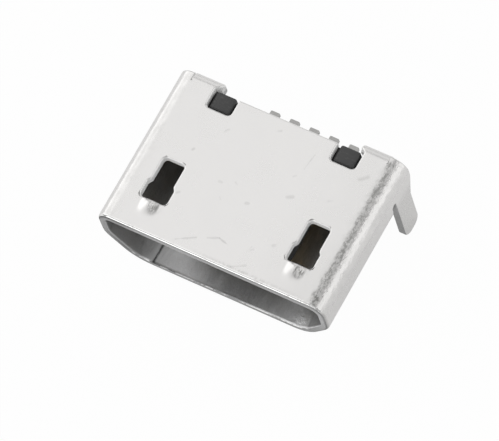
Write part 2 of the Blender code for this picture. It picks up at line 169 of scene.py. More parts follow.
class SheetSizes(bpy.types.PropertyGroup):
    """The folded sheet and its section."""

    thickness: length("Thickness", "Thickness of the sheet", 0.25)
    mouth_height: length("Mouth height", "Height of the mouth, inside the sheet", 1.85)
    upper_bend: length("Upper bend", "Inside radius beside the top plate", 0.25)
    side_bend: length("Side bend", "Inside radius between the side wall and the slanted corner", 0.46)
    floor_bend: length("Floor bend", "Inside radius between the slanted corner and the underside", 0.75)
    slant_run: length("Slant run", "Slanted lower corner, across", 0.82)
    slant_rise: length("Slant rise", "Slanted lower corner, up", 1.07)
    mouth_round: length("Mouth rounding", "Rounding of the mouth's outer edge", 0.11)
    mouth_inner: length("Mouth's inner rounding", "Rounding of the mouth's inner edge", 0.07)
    mouth_row: length("Mouth row", "First row of faces behind the mouth", 0.12)
    edge_round: length("Edge rounding", "Rounding of the outside's other cut edges", 0.05)
    edge_row: length("Edge row", "First row of faces beside a cut edge", 0.055)
    inner_round: length("Inner rounding", "Rounding of the inside's cut edges", 0.03)
    slit_round: length("Slit rounding", "Rounding beside the seam and the flange's slot", 0.01)
    seam_inset: length("Seam inset", "Seam, from the slanted corner", 0.68)
    seam_gap: length("Seam gap", "Gap where the sheet's two ends meet", 0.004)
    dovetail_start: length("Dovetail start", "Start of the dovetail, from the mouth", 1.70)
    dovetail_neck: length("Dovetail neck", "Width of the dovetail at its neck", 0.55)
    dovetail_head: length("Dovetail head", "Width of the dovetail at its head", 0.85)
    dovetail_reach: length("Dovetail reach", "How far the dovetail reaches across", 0.55)


class WindowSizes(bpy.types.PropertyGroup):
    """A catch window and the bump pressed up in front of it."""

    inset: length("Inset", "Window's centre, from the mouth's side", 1.08)
    front: length("Front", "Front edge, from the mouth", 1.01)
    step: length("Step", "Where the window narrows, from the mouth", 1.51)
    taper: length("Taper", "Length of the narrowing", 0.12)
    rear: length("Rear", "Rear edge, from the mouth", 2.37)
    wide: length("Wide", "Width of the front part", 0.86)
    narrow: length("Narrow", "Width of the rear part", 0.70)
    corner: length("Corner", "Radius of the corners", 0.13)
    bump_width: length("Bump width", "Width of the pressed bump", 0.66)
    bump_front: length("Bump front", "Start of the bump, from the mouth", 0.40)
    bump_crest: length("Bump crest", "Highest line of the bump, from the mouth", 0.88)
    bump_end: length("Bump end", "End of the bump, from the mouth", 1.12)
    bump_height: length("Bump height", "Height of the bump", 0.13)


class RearSizes(bpy.types.PropertyGroup):
    """The shell's rear: notches, flanges and legs. The rear end is the side walls' rear edge."""

    notch_inset: length("Notch inset", "Notch's outer edge, from the mouth's side", 1.02)
    notch_width: length("Notch width", "Width of a notch", 0.82)
    notch_depth: length("Notch depth", "Notch's front edge, from the rear end", 0.82)
    notch_corner: length("Notch corner", "Radius of the notch's corners", 0.14)
    setback: length("Setback", "Plain rear edge between the notches, from the rear end", 0.25)
    flange_depth: length("Flange depth", "Depth of the folded rear flange", 0.66)
    flange_proud: length("Flange proud", "Flange's face, behind the rear end", 0.09)
    flange_bend: length("Flange bend", "Inside radius of the flange", 0.06)
    flange_slot: length("Flange slot", "Slot between the flange and the corner", 0.005)
    flange_corner: length("Flange corner", "Radius of the flange's lower corners", 0.12)
    hook_reach: length("Hook reach", "How far the flange reaches behind the notch", 0.16)
    leg_setback: length("Leg setback", "Leg's rear edge, from the rear end", 0.20)
    leg_width: length("Leg width", "Width of a leg", 0.73)
    leg_corner: length("Leg corner", "Radius of the leg's tip", 0.30)
    relief: length("Relief", "Slot between the leg and the underside", 0.17)
    heel_drop: length("Heel drop", "Start of the sloping edge, below the upper bend", 0.28)
    heel_height: length("Heel height", "Drop of the sloping edge", 0.80)
    heel_corner: length("Heel corner", "Radius at both ends of the sloping edge", 0.20)


class MouldingSizes(bpy.types.PropertyGroup):
    """Finishing sizes of the insulator's moulding."""

    edge_round: length("Edge rounding", "Rounding of the moulding's edges", 0.015)
    foot_tuck: length("Foot tuck", "How far the block's sides lean in at their foot", 0.40)
    foot_top: length("Foot top", "Height at which the sides start to lean in", 1.0)


class ContactSizes(bpy.types.PropertyGroup):
    """The five contacts."""

    count: IntProperty(name="Count", description="Number of contacts", default=5, min=1)
    thickness: length("Thickness", "Thickness of a contact", 0.15)
    bend: length("Bend", "Centre-line radius of its bends", 0.12)
    tail: length("Tail", "From the middle of its upright run to its rear end", 1.08)
    edge_round: length("Edge rounding", "Rounding of its edges", 0.02)


class Finishes(bpy.types.PropertyGroup):
    """Colours of the materials."""

    nickel: colour("Nickel", "Plating on the sheet's outside", (0.80, 0.79, 0.78))
    cut_edge: colour("Cut edge", "Sheared edges of the sheet", (0.54, 0.54, 0.54))
    inside: colour("Inside", "The sheet's inside, near the mouth", (0.94, 0.94, 0.94))
    moulding: colour("Moulding", "Black moulding", (0.048, 0.048, 0.048))
    tin: colour("Tin", "Plating on the contacts' tails", (0.48, 0.475, 0.465))
    gold: colour("Gold", "Plating on the contacts' mating faces", (0.83, 0.62, 0.30))
    floor: colour("Floor", "Pale floor", (0.86, 0.86, 0.86))


class Studio(bpy.types.PropertyGroup):
    """The camera's place and the lights' levels."""

    azimuth: angle("Azimuth", "Camera's turn round the socket", 47.72)
    elevation: angle("Elevation", "Camera's height angle", 63.54)
    roll: angle("Roll", "Camera's turn about its own axis", 20.94)
    distance: length("Distance", "From the camera to the point it looks at", 182.65)
    lens: FloatProperty(name="Lens", description="Focal length in millimetres", default=468.94)
    aim: FloatVectorProperty(
        name="Aim",
        description="Point of the top plate at the picture's centre",
        default=(0.4711 * MM, -0.9049 * MM, 2.35 * MM),
        subtype="TRANSLATION",
        unit="LENGTH",
        precision=6,
    )
    key: light_level("Key light", "Radiance of the left softbox", 0.52)
    side: light_level("Side light", "Radiance of the low left softbox", 0.32)
    fill: light_level("Fill light", "Radiance of the right softbox", 0.6)
    rear: light_level("Rear light", "Radiance of the rear softbox", 0.45)
    front: light_level("Front light", "Radiance of the front softbox", 0.95)
    sky: light_level("Sky", "Radiance of the surroundings", 0.33)


def pairs(u, v):
    """(u, v) points from two arrays, or from an array and a number."""
    return np.stack(np.broadcast_arrays(u, v), -1)


def corner_arcs(corners, closed=False):
    """One array of (u, v) points for each corner of a path of (u, v, radius) corners.

    A corner turns on an arc that starts radius * tan(turn / 2) before it. The arc's points are its centre
    plus radius * (cos, sin) of equal steps of angle. An open path's two ends stay single points.
    """
    count = len(corners)
    arcs = []
    for index, (u, v, radius) in enumerate(corners):
        place = np.array((u, v))
        if radius == 0 or (not closed and index in (0, count - 1)):
            arcs.append(place[None])
            continue
        into = place - corners[index - 1][:2]
        out = np.array(corners[(index + 1) % count][:2]) - place
        into, out = into / np.hypot(*into), out / np.hypot(*out)
        turn = math.atan2(into[0] * out[1] - into[1] * out[0], into @ out)
        start = place - into * radius * math.tan(abs(turn) / 2)
        to_centre = np.array((-into[1], into[0])) * math.copysign(radius, turn)
        first = math.atan2(-to_centre[1], -to_centre[0])
        angles = first + np.linspace(0, turn, ARC_STEPS + 1)
        arcs.append(start + to_centre + radius * pairs(np.cos(angles), np.sin(angles)))
    return arcs


def joined(*paths):
    """One path from several, without the points that repeat the one before them."""
    path = np.vstack(paths)
    steps = np.hypot(*np.diff(path, axis=0).T)
    return path[np.concatenate([[True], steps > TINY])]


def between_middles(arcs, first, last):
    """The path from the middle of one corner's arc to the middle of a later one's."""
    return joined(arcs[first][ARC_MIDDLE:], *arcs[first + 1 : last], arcs[last][: ARC_MIDDLE + 1])


def laid_along(path, axis, marks, radius):
    """Points of the path, one for each mark on the block beside it.

    Between the path's two corner arcs, a point's coordinate on the axis is its mark. The marks beyond an
    arc's start share out the arc. The other coordinate is interpolated along the path.
    """
    ends = path[[0, -1], axis]
    way = np.sign(ends[1] - ends[0])
    held = ends + way * radius * np.array((1, -1))
    knots = way * np.array((marks[0], *held, marks[-1]))
    wanted = np.interp(way * marks, knots, (ends[0], *held, ends[1]))
    order = path[:, axis].argsort()
    other = np.interp(wanted, path[order, axis], path[order, 1 - axis])
    return pairs(wanted, other) if axis == 0 else pairs(other, wanted)


def straight(start, end, count):
    """count equal steps from start to end."""
    return np.linspace(start, end, count + 1)


def stepped(first, *marks):
    """Equal steps from mark to mark. Each mark but the first is given with its wanted step."""
    parts = [np.array([first])]
    for mark, step in marks:
        start = parts[-1][-1]
        count = max(1, round((mark - start) / step))
        parts.append(straight(start, mark, count)[1:])
    return np.concatenate(parts)


def between(lines, low, high):
    """The lines from low to high, both included."""
    return lines[(lines > low - TINY) & (lines < high + TINY)]


def smooth_ramp(value):
    """0 below 0, 1 above 1, and 3 * value ** 2 - 2 * value ** 3 between."""
    value = np.clip(value, 0, 1)
    return value * value * (3 - 2 * value)


def read_values(items, name, kind=np.int32, width=1):
    """One property of each of a mesh's items, as a flat array."""
    values = np.empty(len(items) * width, kind)
    items.foreach_get(name, values)
    return values


def read_places(mesh):
    """The vertices' places, one row each."""
    return read_values(mesh.vertices, "co", np.float32, 3).reshape(-1, 3)


def side_of_corners(mesh):
    """Where the face of each face corner lies on the sheet: 0 outside, 1 inside and 2 on a cut."""
    side = read_values(mesh.polygons, "material_index")
    return np.repeat(side, read_values(mesh.polygons, "loop_total"))


def mark_section(mesh):
    """Keeps the way across the sheet as an attribute: 0 on the outside's corners and 1 on the inside's."""
    corner = read_values(mesh.loops, "vertex_index")
    inside = np.zeros(len(mesh.vertices), np.float32)
    inside[corner[side_of_corners(mesh) == 1]] = 1
    section = mesh.attributes.new("section", "FLOAT", "CORNER")
    section.data.foreach_set("value", inside[corner])


@contextmanager
def opened(mesh):
    """The mesh as bmesh's tools take it. It is written back afterwards."""
    bm = bmesh.new()
    bm.from_mesh(mesh)
    yield bm
    bm.to_mesh(mesh)
    bm.free()


def add_object(name, data):
    """A new object in the scene, at the origin."""
    made = bpy.data.objects.new(name, data)
    bpy.context.scene.collection.objects.link(made)
    return made


class Skin:
    """An open surface made of patches. Corners that meet are welded when it becomes an object."""

    def __init__(self):
        self.points = []
        self.faces = []
        self.count = 0

    def take(self, points):
        """Keeps the points and returns the number of the first."""
        first = self.count
        self.points.append(points)
        self.count += len(points)
        return first

    def grid(self, x, distance, z):
        """A patch whose three coordinates are arrays over its rows and columns."""
        x, distance, z = np.broadcast_arrays(x, distance, z)
        rows, columns = x.shape
        first = self.take(np.stack([x, distance + MOUTH, z], -1).reshape(-1, 3))
        index = first + np.arange(rows * columns).reshape(rows, columns)
        quads = np.stack([index[:-1, :-1], index[1:, :-1], index[1:, 1:], index[:-1, 1:]], -1)
        self.faces += quads.reshape(-1, 4).tolist()

    def outline(self, x, distance, z):
        """One flat face round an outline."""
        x, distance, z = np.broadcast_arrays(x, distance, z)
        first = self.take(np.stack([x, distance + MOUTH, z], -1))
        self.faces.append(list(range(first, first + len(x))))

    def add_mirror_image(self):
        """The same patches with x turned to -x and each face's corners in the opposite order."""
        count = self.count
        self.take(np.vstack(self.points) * (-1, 1, 1))
        self.faces += [[corner + count for corner in reversed(face)] for face in self.faces]

    def to_object(self, name):
        """The welded surface as an object, with its faces turned outwards."""
        mesh = bpy.data.meshes.new(name)
        mesh.from_pydata(np.vstack(self.points), [], self.faces)
        with opened(mesh) as bm:
            bmesh.ops.remove_doubles(bm, verts=bm.verts, dist=WELD)
            bmesh.ops.recalc_face_normals(bm, faces=bm.faces)
            highest = max(bm.faces, key=lambda face: face.calc_center_median().z)
            if highest.normal.z < 0:
                bmesh.ops.reverse_faces(bm, faces=bm.faces)
        mesh.shade_smooth()
        return add_object(name, mesh)


class SheetPlan:
    """The folded sheet's lines, from its property groups, and the patches between them."""

    def __init__(self, sheet, window, rear):
        self.sheet, self.window, self.rear = sheet, window, rear
        mouth_side = HALF_WIDTH - sheet.thickness
        self.height = sheet.mouth_height + 2 * sheet.thickness
        self.upper_radius = sheet.upper_bend + sheet.thickness
        self.side_radius = sheet.side_bend + sheet.thickness
        self.floor_radius = sheet.floor_bend + sheet.thickness
        self.flange_radius = rear.flange_bend + sheet.thickness
        self.plate_edge = HALF_WIDTH - self.upper_radius
        self.wall_top = self.height - self.upper_radius
        self.rear_end = FLANGE_FACE - rear.flange_proud
        self.flange_start = FLANGE_FACE - self.flange_radius
        self.flange_outer = self.plate_edge - rear.flange_slot
        self.flange_top = self.height - self.flange_radius
        self.flange_foot = self.height - rear.flange_depth + rear.flange_corner
        self.rear_edge = self.rear_end - rear.setback
        self.window_centre = mouth_side - window.inset
        self.notch_outer = mouth_side - rear.notch_inset
        self.notch_inner = self.notch_outer - rear.notch_width
        self.notch_front = self.rear_end - rear.notch_depth
        self.leg_rear = self.rear_end - rear.leg_setback
        self.leg_front = self.leg_rear - rear.leg_width
        self.underside_end = self.leg_front - rear.relief
        self.seam = sheet.seam_inset + sheet.slant_run - HALF_WIDTH
        self.lay_out_plate()

    def lay_out_plate(self):
        """The lines of the top plate's grid, closest round the windows and the notches."""
        margin, wide_margin, fine, coarse = 0.16 * MM, 0.24 * MM, 0.03 * MM, 0.20 * MM
        window = self.window
        self.notch_block = (self.notch_inner - margin, self.notch_outer + margin)
        self.window_block = (
            self.window_centre - window.wide / 2 - wide_margin,
            self.window_centre + window.wide / 2 + margin,
        )
        self.window_rows = (window.bump_front - margin, window.rear + margin)
        self.notch_row = self.notch_front - margin
        edge_row = self.sheet.edge_row
        self.x_lines = stepped(
            0,
            (self.notch_block[0], coarse),
            (self.window_block[0], fine),
            (self.notch_block[1], fine),
            (self.window_block[1], fine),
            (self.flange_outer - edge_row, 2 * fine),
            (self.flange_outer, edge_row),
            (self.plate_edge, fine),
        )
        self.rows = stepped(
            0,
            (self.sheet.mouth_row, self.sheet.mouth_row),
            (self.window_rows[0], 2 * fine),
            (self.window_rows[1], fine),
            (self.notch_row, coarse),
            (self.rear_edge - edge_row, fine),
            (self.rear_edge, edge_row),
            (self.flange_start, fine),
        )

    def press_bumps(self, mesh):
        """Raises both faces of the top plate: a cosine hill across, and a rise and a steeper fall along.

        The hill is (1 + cos(pi * across)) / 2 times (1 + cos(pi * along)) / 2, where across and along
        run from 0 at the crest to 1 at the bump's edge.
        """
        window = self.window
        places = read_places(mesh)
        x, y, z = places.T
        distance = y - MOUTH
        across = np.clip(np.abs(np.abs(x) - self.window_centre) / (window.bump_width / 2), 0, 1)
        rise = (window.bump_crest - distance) / (window.bump_crest - window.bump_front)
        fall = (distance - window.bump_crest) / (window.bump_end - window.bump_crest)
        along = np.clip(np.maximum(rise, fall), 0, 1)
        hill = (0.5 + 0.5 * np.cos(np.pi * across)) * (0.5 + 0.5 * np.cos(np.pi * along))
        z += window.bump_height * hill * (z > self.height / 2)
        mesh.vertices.foreach_set("co", places.ravel())

    def weigh_edges(self, mesh):
        """Gives each cut edge its rounding, as a share of the mouth's, by where it lies.

        A cut edge lies between a face of the cut and one of the outside or the inside. Beside the seam and
        the flange's slot the rounding is least, and down the flange's side it grows back in equal steps.
        """
        sheet = self.sheet
        side, edge = side_of_corners(mesh), read_values(mesh.loops, "edge_index")
        count = len(mesh.edges)
        outer, inner, cut = (np.bincount(edge[side == kind], minlength=count) for kind in range(3))
        ends = read_values(mesh.edges, "vertices", width=2)
        x, y, z = read_places(mesh)[ends].reshape(-1, 2, 3).mean(1).T
        distance = y - MOUTH
        at_mouth = distance < WELD
        at_seam = (z < sheet.thickness + WELD) & ~at_mouth & (distance < self.underside_end - WELD)
        at_slot = (np.abs(x) > self.flange_outer - WELD) & (distance > self.flange_start)
        at_slot &= (np.abs(x) < self.plate_edge + WELD) & (z > self.flange_foot)
        down = np.clip((self.flange_top - z) / (self.flange_top - self.flange_foot), 0, 1)
        width = np.where(outer == 1, sheet.edge_round, sheet.inner_round)
        width[at_mouth] = np.where(outer == 1, sheet.mouth_round, sheet.mouth_inner)[at_mouth]
        width = np.where(at_slot, sheet.slit_round + (width - sheet.slit_round) * down, width)
        width[at_seam] = sheet.slit_round
        width[(cut != 1) | (outer + inner != 1)] = 0
        weights = mesh.attributes.new("bevel_weight_edge", "FLOAT", "EDGE")
        weights.data.foreach_set("value", (width / sheet.mouth_round).astype(np.float32))

    def add_plate(self, skin):
        """The flat of the top plate: tensor grids of the plan's lines round the window and the notch."""
        xs, rows, edge = self.x_lines, self.rows, self.plate_edge
        front, back = self.window_rows
        blocks = [
            (0, edge, 0, front),
            (0, self.window_block[0], front, back),
            (self.window_block[1], edge, front, back),
            (0, edge, back, self.notch_row),
            (0, self.notch_block[0], self.notch_row, self.rear_edge),
            (self.notch_block[1], edge, self.notch_row, self.flange_start),
        ]
        for left, right, near, far in blocks:
            x = between(xs, left, right)[None, :]
            distance = between(rows, near, far)[:, None]
            skin.grid(x, distance, self.height)

    def add_window(self, skin):
        """A ring from the window's outline to its block's edge: each row is a blend of the two loops."""
        window = self.window
        wide, narrow, corner = window.wide / 2, window.narrow / 2, window.corner
        neck = window.step + window.taper
        half = [
            (wide, window.front, corner),
            (wide, window.step, window.taper / 2),
            (narrow, neck, window.taper / 2),
            (narrow, window.rear, corner),
        ]
        corners = [*half, *((-u, v, radius) for u, v, radius in reversed(half))]
        arcs = corner_arcs([(self.window_centre + u, v, radius) for u, v, radius in corners], closed=True)
        arcs.append(arcs[0])
        left, right = self.window_block
        near, far = self.window_rows
        xs, rows = between(self.x_lines, left, right), between(self.rows, near, far)
        outline = [
            laid_along(between_middles(arcs, 0, 3), 1, rows, corner),
            laid_along(between_middles(arcs, 3, 4), 0, xs[::-1], corner),
            laid_along(between_middles(arcs, 4, 7), 1, rows[::-1], corner),
            laid_along(between_middles(arcs, 7, 8), 0, xs, corner),
        ]
        block = [pairs(right, rows), pairs(xs[::-1], far), pairs(left, rows[::-1]), pairs(xs, near)]
        self.add_blend(skin, joined(*outline), joined(*block), WINDOW_ROWS)

    def add_notch(self, skin):
        """The same blend round three sides of the notch, which is open at the rear."""
        left, right = self.notch_block
        corner = self.rear.notch_corner
        arcs = corner_arcs(
            [
                (self.notch_inner, self.rear_edge, 0),
                (self.notch_inner, self.notch_front, corner),
                (self.notch_outer, self.notch_front, corner),
                (self.notch_outer, self.flange_start, 0),
            ]
        )
        outer_rows = between(self.rows, self.notch_row, self.flange_start)
        inner_rows = between(self.rows, self.notch_row, self.rear_edge)[::-1]
        xs = between(self.x_lines, left, right)
        outline = [
            laid_along(joined(arcs[0], arcs[1][: ARC_MIDDLE + 1]), 1, inner_rows, corner),
            laid_along(between_middles(arcs, 1, 2), 0, xs, corner),
            laid_along(joined(arcs[2][ARC_MIDDLE:], arcs[3]), 1, outer_rows, corner),
        ]
        block = [pairs(left, inner_rows), pairs(xs, self.notch_row), pairs(right, outer_rows)]
        self.add_blend(skin, joined(*outline), joined(*block), NOTCH_ROWS)

    def shares(self, gap, steps):
        """Shares of a gap from 0 to 1: the first row is the edge row, and the others are equal."""
        first = self.sheet.edge_row / np.atleast_1d(gap)
        return np.vstack([0 * first, first + (1 - first) * straight(0, 1, steps - 1)[:, None]])

    def add_blend(self, skin, inner, outer, steps):
        """Rows from the inner to the outer path, on the top plate."""
        share = self.shares(np.hypot(*(outer - inner).T), steps)
        x = (1 - share) * inner[:, 0] + share * outer[:, 0]
        distance = (1 - share) * inner[:, 1] + share * outer[:, 1]
        skin.grid(x, distance, self.height)

    def add_flange(self, skin):
        """The rear flange: the plate's edge carried round a quarter circle, then one flat outline.

        The inner edge swings inwards behind the notch by a smooth ramp of the angle turned.
        """
        rear = self.rear
        margin = self.notch_block[1] - self.notch_outer
        notch_side = self.notch_outer + margin * self.shares(margin, NOTCH_ROWS)[:, 0]
        plate_side = between(self.x_lines, self.notch_block[1], self.flange_outer)
        across = np.concatenate([notch_side, plate_side[1:]])
        angles = straight(0, np.pi / 2, ARC_STEPS)[:, None]
        swing = rear.hook_reach * smooth_ramp(angles / SWING_END)
        share = np.clip((self.notch_block[1] - across) / margin, 0, 1)
        x = across - swing * share
        distance = self.flange_start + self.flange_radius * np.sin(angles)
        z = self.height - self.flange_radius * (1 - np.cos(angles))
        skin.grid(x, distance, z)
        top, bottom = self.flange_top, self.height - rear.flange_depth
        inner, outer, corner = x[-1, 0], x[-1, -1], rear.flange_corner
        arcs = corner_arcs(
            [(outer, top, 0), (outer, bottom, corner), (inner, bottom, corner), (inner, top, 0)]
        )
        flank = straight(top, self.flange_foot, FLANK_STEPS)
        path = joined(pairs(x[-1], top), pairs(outer, flank), *arcs[1:3])
        skin.outline(path[:, 0], FLANGE_FACE, path[:, 1])

    def add_corner(self, skin):
        """The bend beside the top plate: a quarter circle carried from the mouth to the rear end.

        Its first step holds the rounding beside the flange's slot, and is half again as long.
        """
        first = 1.5 * self.sheet.slit_round / self.upper_radius
        angles = np.append(0, straight(first, np.pi / 2, BEND_STEPS))[:, None]
        distance = np.append(self.rows, self.rear_end)[None, :]
        x = self.plate_edge + self.upper_radius * np.sin(angles)
        z = self.wall_top + self.upper_radius * np.cos(angles)
        skin.grid(x, distance, z)

    def lower_path(self):
        """The section below the side wall, from its fold to the underside's flat."""
        sheet = self.sheet
        arcs = corner_arcs(
            [
                (HALF_WIDTH, self.wall_top, 0),
                (HALF_WIDTH, sheet.slant_rise, self.side_radius),
                (HALF_WIDTH - sheet.slant_run, 0, self.floor_radius),
                (0, 0, 0),
            ]
        )
        return joined(arcs[1], arcs[2])

    def add_side(self, skin):
        """The side wall with its slot, leg and sloping heel: one flat outline."""
        rear = self.rear
        fold = self.lower_path()[0][1]
        slot_top = fold + rear.relief
        heel_top = self.wall_top - rear.heel_drop
        heel_foot = heel_top - rear.heel_height
        arcs = corner_arcs(
            [
                (self.rear_end, self.wall_top, 0),
                (self.rear_end, heel_top, rear.heel_corner),
                (self.leg_rear, heel_foot, rear.heel_corner),
                (self.leg_rear, LEG_TIP, rear.leg_corner),
                (self.leg_front, LEG_TIP, rear.leg_corner),
                (self.leg_front, slot_top, rear.relief / 2),
                (self.underside_end, slot_top, rear.relief / 2),
                (self.underside_end, fold, 0),
            ]
        )
        path = joined(pairs(self.rows, self.wall_top), *arcs, np.array([[0, fold]]))
        skin.outline(HALF_WIDTH, path[:, 0], path[:, 1])

    def add_slant(self, skin):
        """The slanted lower corner: its section carried from the mouth to the underside's end."""
        path = self.lower_path()[:, None]
        skin.grid(path[..., 0], np.array([[0, self.underside_end]]), path[..., 1])

    def seam_side(self, offset):
        """One edge of the seam: its zigzag moved across, square to itself, by the offset."""
        sheet = self.sheet
        spread = (sheet.dovetail_head - sheet.dovetail_neck) / 2
        neck_end = sheet.dovetail_start + sheet.dovetail_neck
        line = np.array(
            [
                (0, 0),
                (0, sheet.dovetail_start),
                (sheet.dovetail_reach, sheet.dovetail_start - spread),
                (sheet.dovetail_reach, neck_end + spread),
                (0, neck_end),
                (0, self.underside_end),
            ]
        )
        run = np.diff(line, axis=0)
        normal = pairs(run[:, 1], -run[:, 0]) / np.hypot(*run.T)[:, None]
        ends = np.vstack([normal[:1], normal, normal[-1:]])
        total = ends[:-1] + ends[1:]
        mitre = 2 * offset * total / (total**2).sum(1)[:, None]
        return line + mitre + (self.seam, 0)

    def add_underside(self, skin):
        """The underside: one flat outline on each side of the seam."""
        side = self.lower_path()[-1][0]
        for sign in (-1, 1):
            edge = self.seam_side(sign * self.sheet.seam_gap / 2)
            path = joined(edge, np.array([(sign * side, self.underside_end), (sign * side, 0)]))
            skin.outline(path[:, 0], path[:, 1], 0)


class Signal:
    """A number that varies over a surface. Sums, products and powers of signals add Math nodes."""

    def __init__(self, paint, socket):
        self.paint, self.socket = paint, socket

    def __add__(self, other):
        return self.paint.math("ADD", self, other)

    def __sub__(self, other):
        return self.paint.math("SUBTRACT", self, other)

    def __rsub__(self, other):
        return self.paint.math("SUBTRACT", other, self)

    def __mul__(self, other):
        return self.paint.math("MULTIPLY", self, other)

    def __truediv__(self, other):
        return self.paint.math("DIVIDE", self, other)

    def __pow__(self, other):
        return self.paint.math("POWER", self, other)

    def __abs__(self):
        return self.paint.math("ABSOLUTE", self)

    __radd__ = __add__
    __rmul__ = __mul__

    def ramp(self, low, high):
        """0 below low, 1 above high, and a smooth step between. low may be the larger one."""
        limits = {"From Min": low, "From Max": high}
        return self.paint.node("MapRange", {"interpolation_type": "SMOOTHSTEP"}, {"Value": self, **limits})

    def clamped(self):
        """The same number, held between 0 and 1."""
        return self.paint.node("Clamp", {}, {"Value": self})

    def bell(self, centre, width):
        """1 at the centre, falling as exp(-((value - centre) / width) ** 2)."""
        return self.paint.math("EXPONENT", ((self - centre) / width) ** 2 * -1)


class Paint:
    """One material. Its methods add nodes and return signals, and x, y and z are places in millimetres."""

    def __init__(self, name):
        self.material = bpy.data.materials.new(name)
        self.material.use_nodes = True
        self.tree = self.material.node_tree
        self.tree.nodes.clear()
        place = self.node("TexCoord", {}, {}, "Object")
        self.place = self.node("VectorMath", {"operation": "SCALE"}, {0: place, "Scale": 1 / MM})
        self.x, self.y, self.z = (self.node("SeparateXYZ", {}, {0: self.place}, axis) for axis in range(3))

    def node(self, kind, settings, values, output=0):
        """Any node: its settings are set first, then its sockets' values or links."""
        made = self.tree.nodes.new("ShaderNode" + kind)
        for name, setting in settings.items():
            setattr(made, name, setting)
        for name, value in values.items():
            if isinstance(value, Signal):
                self.tree.links.new(value.socket, made.inputs[name])
            else:
                made.inputs[name].default_value = value
        return Signal(self, made.outputs[output]) if made.outputs else None

    def math(self, operation, *values):
        """The result of a Math node."""
        return self.node("Math", {"operation": operation}, dict(enumerate(values)))

    def noise(self, scale, detail=3.0, roughness=0.5, stretch=(1, 1, 1), turn=0.0, shift=(0, 0, 0)):
        """Noise with scale features to the millimetre, stretched along axes that are turned about Z."""
        turned = {"Vector": self.place, "Rotation": (0, 0, turn), "Scale": stretch, "Location": shift}
        place = self.node("Mapping", {}, turned)
        values = {"Vector": place, "Scale": scale, "Detail": detail, "Roughness": roughness}
        return self.node("TexNoise", {}, values)

    def mix(self, share, first, second):
        """A colour between two colours."""
        settings = {"data_type": "RGBA", "clamp_factor": True}
        values = {0: share, 6: self.rgba(first), 7: self.rgba(second)}
        return self.node("Mix", settings, values, 2)

    @staticmethod
    def rgba(value):
        """A signal as it is, and three numbers as an opaque colour."""
        return value if isinstance(value, Signal) else (*value, 1)

    def shade(self, base, roughness, metallic, height, depth):
        """The material with a Principled shader and a bump of the given depth in metres."""
        normal = self.node("Bump", {}, {"Height": height, "Distance": depth, "Strength": 1.0})
        values = {"Base Color": self.rgba(base), "Roughness": roughness, "Metallic": metallic}
        return self.finished(self.node("BsdfPrincipled", {}, {**values, "Normal": normal}))

    def finished(self, surface):
        """The material with the given surface."""
        self.node("OutputMaterial", {}, {"Surface": surface})
        return self.material


def distance_to_line(paint, start, end):
    """How far a point of the plate lies from the line between two places, all (x, y) in millimetres.

    The nearest place on the line is its start plus a share of the run, clamped from 0 to 1. The share is
    the point's offset from the start, times the run, over the run's squared length.
    """
    run_x, run_y = end[0] - start[0], end[1] - start[1]
    x, y = paint.x - start[0], paint.y - start[1]
    share = ((x * run_x + y * run_y) / (run_x**2 + run_y**2)).clamped()
    return ((x - share * run_x) ** 2 + (y - share * run_y) ** 2) ** 0.5


def scratches(paint):
    """Fine scratches on the top plate: the sum of a bell round each line. They waver with a noise."""
    waver = (paint.noise(2.5, 1.0) - 0.5) * 0.16
    total = 0
    for start, end, width, depth in SCRATCHES:
        total = total + (distance_to_line(paint, start, end) + waver).bell(0, width) * depth
    return total


def sheet_places(plan):
    """The sheet's side, mouth, rear end and top in millimetres, from which its materials' masks count."""
    return HALF_WIDTH / MM, MOUTH / MM, (MOUTH + plan.rear_end) / MM, plan.height / MM


